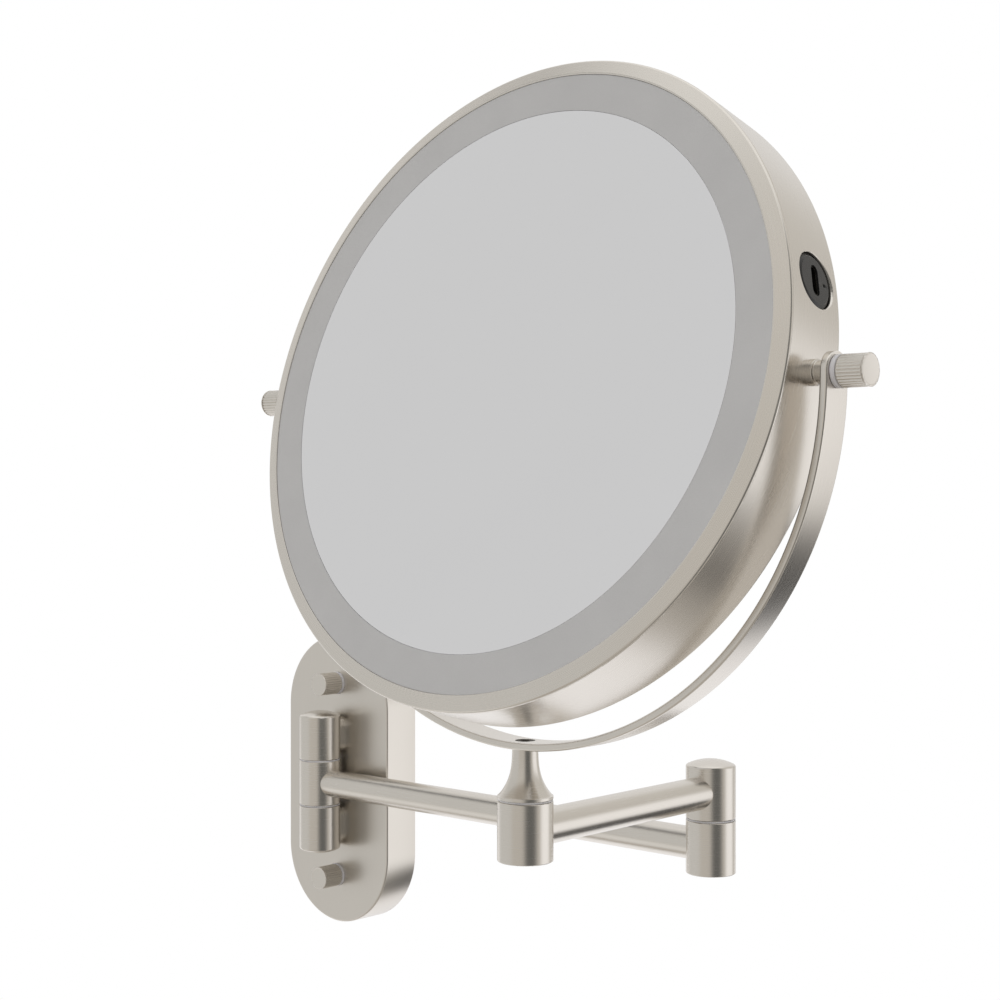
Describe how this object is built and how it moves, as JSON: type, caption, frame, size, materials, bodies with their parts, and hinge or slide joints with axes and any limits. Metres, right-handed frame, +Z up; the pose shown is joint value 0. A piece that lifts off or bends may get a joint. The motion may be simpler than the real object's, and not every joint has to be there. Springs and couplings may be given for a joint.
{
  "type": "extendable shaving mirror",
  "caption": "Wall-mounted double-sided lit mirror on two swinging arms, with a tilting round head in a half-ring yoke and a charging port in its rim.",
  "frame": {"origin": "middle of the wall bracket's back face, on the wall", "axes": "+Z is up, +Y points into the wall, +X points along the wall to the right as a user faces it; the mirror stands out towards -Y"},
  "size_m": [0.352, 0.1609, 0.3154],
  "materials": {
    "brushed_nickel": "satin",
    "plain_steel": "satin",
    "brass": "satin",
    "nylon": "satin",
    "silvered_glass": "polished",
    "frosted_diffuser": "matte",
    "black_plastic": "matte",
    "white_plastic": "matte",
    "circuit_board": "satin",
    "battery_foil": "satin",
    "lead_insulation": "satin"
  },
  "bodies": {
    "wall_plate": {"wall_bracket": "plain_steel", "cover_studs": "plain_steel", "wall_cover": "brushed_nickel", "nut_rings": "nylon", "cover_nuts": "brushed_nickel", "upper_knuckle": "brushed_nickel", "lower_knuckle": "brushed_nickel", "hinge_pin": "plain_steel", "hinge_washers": "nylon", "knuckle_screws": "plain_steel"},
    "inner_arm": {"inner_hinge_barrel": "brushed_nickel", "inner_arm_tube": "brushed_nickel", "elbow_lower_barrel": "brushed_nickel"},
    "outer_arm": {"elbow_washer": "nylon", "elbow_upper_barrel": "brushed_nickel", "elbow_pin": "plain_steel", "elbow_spring_washer": "plain_steel", "elbow_screw": "plain_steel", "outer_arm_tube": "brushed_nickel", "post_barrel": "brushed_nickel"},
    "yoke": {"post_washer": "nylon", "flared_post": "brushed_nickel", "post_spring_washer": "plain_steel", "post_screw": "plain_steel", "yoke_band": "brushed_nickel", "yoke_screw": "plain_steel"},
    "head": {"head_rim": "brushed_nickel", "front_bezel": "brushed_nickel", "rear_bezel": "brushed_nickel", "front_light_ring": "frosted_diffuser", "rear_light_ring": "frosted_diffuser", "front_mirror": "silvered_glass", "rear_mirror": "silvered_glass", "front_backing": "white_plastic", "rear_backing": "white_plastic", "core_frame": "white_plastic", "front_led_board": "white_plastic", "rear_led_board": "white_plastic", "battery": "battery_foil", "battery_leads": "lead_insulation", "circuit_board": "circuit_board", "charge_socket": "plain_steel", "port_plate": "black_plastic", "touch_sensor": "black_plastic", "backing_screws": "plain_steel", "pivot_inserts": "brass", "left_collar": "brushed_nickel", "right_collar": "brushed_nickel"},
    "left_knob_body": {"left_knob": "brushed_nickel", "left_knob_washer": "nylon"},
    "right_knob_body": {"right_knob": "brushed_nickel", "right_knob_washer": "nylon"}
  },
  "joints": [
    {"name": "wall_hinge", "type": "hinge", "parent": "wall_plate", "child": "inner_arm", "pos_m": [0, -0.0262, 0], "axis": [0, 0, 1], "range_deg": [-185, 5]},
    {"name": "elbow", "type": "hinge", "parent": "inner_arm", "child": "outer_arm", "pos_m": [0.202, -0.0262, 0], "axis": [0, 0, 1], "continuous": true},
    {"name": "post_swivel", "type": "hinge", "parent": "outer_arm", "child": "yoke", "pos_m": [0.202, -0.1227, 0.019], "axis": [0, 0, 1], "continuous": true},
    {"name": "head_tilt", "type": "hinge", "parent": "yoke", "child": "head", "pos_m": [0.202, -0.1227, 0.1533], "axis": [1, 0, 0], "continuous": true},
    {"name": "left_knob_turn", "type": "hinge", "parent": "head", "child": "left_knob_body", "pos_m": [0.0878, -0.1227, 0.1533], "axis": [1, 0, 0], "range_deg": [-180, 180]},
    {"name": "right_knob_turn", "type": "hinge", "parent": "head", "child": "right_knob_body", "pos_m": [0.3162, -0.1227, 0.1533], "axis": [1, 0, 0], "range_deg": [-180, 180]}
  ]
}
